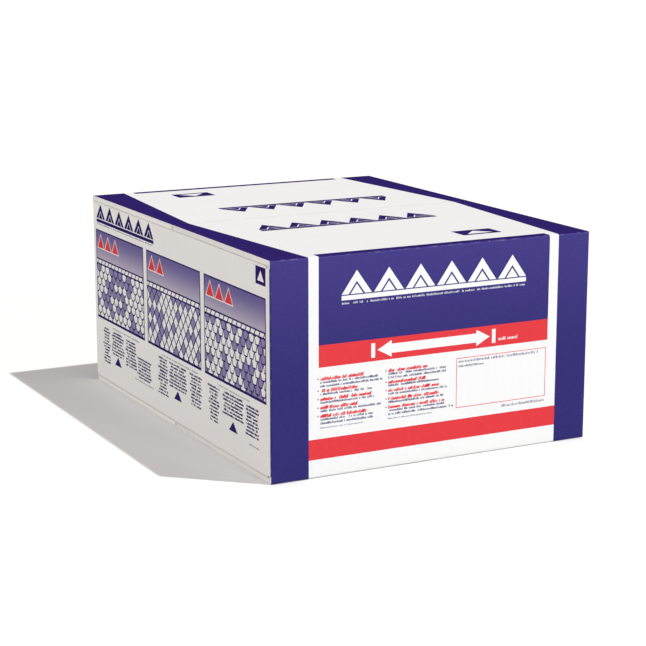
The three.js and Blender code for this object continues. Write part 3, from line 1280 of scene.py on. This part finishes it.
class CARTON_OT_pictures(bpy.types.Operator):
    """Lays the three framed pictures of shingle courses on both side panels"""

    bl_idname = "carton.pictures"
    bl_label = "Pictures on the sides"

    def execute(self, context):
        layout = side_print()
        tints, lines, courses = Flat(picture_tint()), Flat(dark_blue_ink()), Flat(white_liner())
        inks = {"ink": white_liner(), "shaded_ink": pale_blue_ink()}
        cap = cap_object()
        for number, shape in enumerate(TILE_SHAPES):
            left, right, base, top = picture_edges(number)
            tints.rectangle(left, right, base, top)
            lines.frame(left, right, base, top, layout.line)
            # The courses fill the lower part of the picture, inside its frame.
            left, right, base = left + layout.line, right - layout.line, base + layout.line
            top -= layout.picture_height * layout.sky
            ridge = top - layout.ridge
            lines.rectangle(left, right, base, top)
            tile = tile_object(shape)
            courses.grow(
                shingle_courses(), left, top, window=(left, right, base + layout.eave, ridge),
                tile=tile, columns=TILE_COLUMNS, courses=TILE_COURSES,
                tile_width=layout.tile_width, exposure=layout.exposure,
                shaded_share=layout.shaded, seed=31 + number, **inks,
            )
            courses.grow(
                shingle_courses(), left, top - layout.ridge / 2, window=(left, right, ridge, top),
                tile=cap, columns=RIDGE_CAPS, courses=1, tile_width=layout.ridge_cap,
                shaded_share=0.0, **inks,
            )
            bpy.data.objects.remove(tile)
        bpy.data.objects.remove(cap)
        laid_twice("picture_tints", tints, on_side, level=1)
        laid_twice("picture_lines", lines, on_side, level=2)
        laid_twice("picture_courses", courses, on_side, level=3)
        return {"FINISHED"}


def peak_outline(middle, foot, span, rise):
    """Corners of one solid peak."""
    return [(middle - span / 2, foot), (middle + span / 2, foot), (middle, foot + rise)]


def widened(points, reach):
    """An outline moved outwards all round, with its sharpest corners cut short."""
    shortest = 0.45

    def moved_corner(before, here, after):
        arriving = (Vector(here) - Vector(before)).normalized()
        leaving = (Vector(after) - Vector(here)).normalized()
        outwards = Vector((arriving.y + leaving.y, -arriving.x - leaving.x)).normalized()
        spread = max(shortest, outwards.dot(Vector((arriving.y, -arriving.x))))
        return tuple(Vector(here) + outwards * reach / spread)

    around = zip(points[-1:] + points[:-1], points, points[1:] + points[:1])
    return [moved_corner(*three) for three in around]


class CARTON_OT_tabs(bpy.types.Operator):
    """Lays a row of red peaks with pale edges on each picture"""

    bl_idname = "carton.tabs"
    bl_label = "Red peaks on the pictures"

    def execute(self, context):
        pale, red = Flat(white_liner()), Flat(red_ink())
        pitch, span, rise = 16.6 * MM, 13.6 * MM, 10.8 * MM
        inset, halo = 4.4 * MM, 0.8 * MM
        for number, peaks in enumerate((3, 2, 3)):
            left, _, _, top = picture_edges(number)
            for peak in range(peaks):
                middle = left + inset + peak * pitch + span / 2
                points = peak_outline(middle, top - inset - rise, span, rise)
                red.outline(points)
                pale.outline(widened(points, halo))
        laid_twice("peak_edges", pale, on_side, level=2)
        laid_twice("red_peaks", red, on_side, level=3)
        return {"FINISHED"}


class CARTON_OT_side_type(bpy.types.Operator):
    """Lays the peaks and the columns of small type on both side panels"""

    bl_idname = "carton.side_type"
    bl_label = "Peaks and small type on the sides"

    def execute(self, context):
        ink = dark_blue_ink()
        flat = Flat(ink)
        flat.barred_peaks(
            8.6 * MM, from_top(21.2), ink, bar=2.7, lift=0.8, pitch=21.4, span=19.8, rise=12.4,
            stroke=4.6, gap=1.0,
        )
        # Each column: left, top, width, lines, and the shortest line as a share.
        columns = (
            (17.4, 110.5, 18.0, 12, 0.55), (37.6, 110.5, 28.5, 8, 0.7),
            (69.2, 111.0, 24.4, 9, 0.75), (94.0, 120.5, 32.0, 7, 0.7),
            (139.5, 110.0, 21.5, 12, 0.5), (162.3, 110.0, 35.0, 8, 0.75),
            (202.5, 110.0, 25.5, 10, 0.6), (237.4, 110.5, 23.0, 11, 0.5),
            (264.2, 110.0, 37.5, 7, 0.75), (304.4, 111.0, 23.0, 9, 0.7),
        )
        for number, (left, top, width, lines, shortest) in enumerate(columns):
            flat.small_type(
                left * MM, from_top(top), ink, width=width, pitch=1.0, height=1.6,
                line_pitch=2.6, lines=lines, shortest_line=shortest, centred=1.0, weight=0.98,
                seed=410 + number,
            )
        flat.single_lines(ink, 0.0, (
            (8.8, 22.1, 124.0, 0.8, 0.9, 0.5, 401),
            (40.2, 107.2, 61.5, 1.0, 1.2, 0.4, 430),
            (147.5, 107.2, 72.5, 1.0, 1.2, 0.4, 431),
            (256.0, 107.2, 56.5, 1.0, 1.2, 0.4, 432),
            (89.8, 139.6, 40.0, 0.95, 1.3, 0.45, 440),
            (309.8, 139.0, 17.5, 0.95, 1.3, 0.45, 441),
        ))
        gable_block(flat, 323.2 * MM, from_top(19.3), 16.1 * MM, 12.9 * MM)
        for middle, foot in ((51.8, 138.6), (179.8, 138.2), (283.0, 137.6)):
            flat.outline(peak_outline(middle * MM, from_top(foot), 15.0 * MM, 7.6 * MM))
        laid_twice("type", flat, on_side)
        return {"FINISHED"}


# Studio


def towards(azimuth, elevation):
    """The direction from the carton to a lamp or the camera."""
    level = math.cos(elevation)
    return Vector((math.sin(azimuth) * level, -math.cos(azimuth) * level, math.sin(elevation)))


def aimed(name, data, back):
    """A lamp or a camera with its back to a direction."""
    piece = linked(name, data)
    piece.rotation_mode = "QUATERNION"
    piece.rotation_quaternion = back.to_track_quat("Z", "Y")
    return piece


def sun(name, azimuth, elevation, level, spread, shade):
    """A lamp far away. At level one, what faces it shows its colour as it is written."""
    lamp = bpy.data.lights.new(name, "SUN")
    lamp.energy = math.pi * level
    lamp.color = shade
    lamp.angle = spread
    aimed(name, lamp, towards(azimuth, elevation))


def seen_mask(tree):
    """One where the camera, a reflection or glass looks straight at the surface."""
    camera = tree.add("ShaderNodeLightPath", output="Is Camera Ray")
    direct = greater(camera, camera.other("Is Glossy Ray"))
    return greater(direct, camera.other("Is Transmission Ray"))


def one_where(mask, level):
    """One where a mask is, and a level elsewhere."""
    return mask * (1.0 - level) + level


def floor_finish():
    """Pale matte floor that looks white where it is lit and keeps the carton's shadow."""
    material = bpy.data.materials.new("floor")
    material.use_nodes = True
    tree = Tree(material.node_tree)
    tree.data.nodes.remove(tree.data.nodes["Principled BSDF"])
    mask = seen_mask(tree)
    grain = tree.noise(600.0) * 0.02 + 0.99
    painted = tree.toned(tint("floor"), grain * one_where(mask, studio().floor_bounce))
    matte = tree.add("ShaderNodeBsdfDiffuse", {"Color": painted})
    glow = tree.add("ShaderNodeEmission", {"Strength": mask * studio().floor_lift})
    both = tree.add("ShaderNodeAddShader", {0: matte, 1: glow})
    tree.join(both, tree.data.nodes["Material Output"].inputs["Surface"])
    return material


class CARTON_OT_studio(bpy.types.Operator):
    """Makes the camera, the lamps, the even light from all round and the pale floor"""

    bl_idname = "carton.studio"
    bl_label = "Studio"

    def execute(self, context):
        self.make_camera(context.scene)
        parts = ("azimuth", "elevation", "level", "spread", "tint")
        for lamp in ("key", "fill", "side"):
            sun(f"{lamp}_lamp", *(getattr(studio(), f"{lamp}_{part}") for part in parts))
        self.make_sky(context.scene)
        self.make_floor()
        context.scene.view_settings.view_transform = "Standard"
        return {"FINISHED"}

    def make_camera(self, scene):
        settings = studio()
        back = towards(settings.camera_azimuth, settings.camera_elevation)
        camera = aimed("camera", bpy.data.cameras.new("camera"), back)
        camera.data.lens = settings.focal_length
        camera.data.clip_start, camera.data.clip_end = 0.01, 100.0
        camera.location = Vector(settings.camera_aim) + back * settings.camera_distance
        scene.camera = camera

    def make_sky(self, scene):
        world = bpy.data.worlds.new("studio_sky")
        world.use_nodes = True
        background = world.node_tree.nodes["Background"].inputs
        tree = Tree(world.node_tree)
        tree.join(one_where(seen_mask(tree), studio().sky_level), background["Strength"])
        background["Color"].default_value = (*studio().sky_tint, 1)
        scene.world = world

    def make_floor(self):
        reach = 15.0
        sheet = bmesh.new()
        bmesh.ops.create_grid(sheet, x_segments=2, y_segments=2, size=reach)
        mesh = mesh_of(sheet, "floor")
        mesh.materials.append(floor_finish())
        floor = linked("floor", mesh)


PIECE_OPERATORS = (
    CARTON_OT_studio,
    CARTON_OT_board,
    CARTON_OT_caps,
    CARTON_OT_blue_print,
    CARTON_OT_red_print,
    CARTON_OT_end_marks,
    CARTON_OT_end_type,
    CARTON_OT_pictures,
    CARTON_OT_tabs,
    CARTON_OT_side_type,
    CARTON_OT_flap_marks,
)

PROPERTY_GROUPS = {
    "carton_board": CartonBoard,
    "carton_end_print": EndPrint,
    "carton_side_print": SidePrint,
    "carton_colours": CartonColours,
    "carton_studio": CartonStudio,
}


class CARTON_PT_sidebar(bpy.types.Panel):
    """Lists the carton's pieces and its studio"""

    bl_idname = "CARTON_PT_sidebar"
    bl_label = "Shingle carton"
    bl_space_type = "VIEW_3D"
    bl_region_type = "UI"
    bl_category = "Carton"

    def draw(self, context):
        for operator in PIECE_OPERATORS:
            self.layout.operator(operator.bl_idname, text=operator.bl_label)
        for name in PROPERTY_GROUPS:
            group = getattr(context.scene, name)
            box = self.layout.box()
            for setting in group.__annotations__:
                box.prop(group, setting)


def register():
    for name, group in PROPERTY_GROUPS.items():
        bpy.utils.register_class(group)
        setattr(bpy.types.Scene, name, PointerProperty(type=group))
    for operator in PIECE_OPERATORS:
        bpy.utils.register_class(operator)
    bpy.utils.register_class(CARTON_PT_sidebar)


def unregister():
    bpy.utils.unregister_class(CARTON_PT_sidebar)
    for operator in reversed(PIECE_OPERATORS):
        bpy.utils.unregister_class(operator)
    for name, group in reversed(PROPERTY_GROUPS.items()):
        delattr(bpy.types.Scene, name)
        bpy.utils.unregister_class(group)


def main():
    """Makes every piece in order."""
    register()
    for operator in PIECE_OPERATORS:
        family, name = operator.bl_idname.split(".")
        getattr(getattr(bpy.ops, family), name)()


if __name__ == "__main__":
    main()
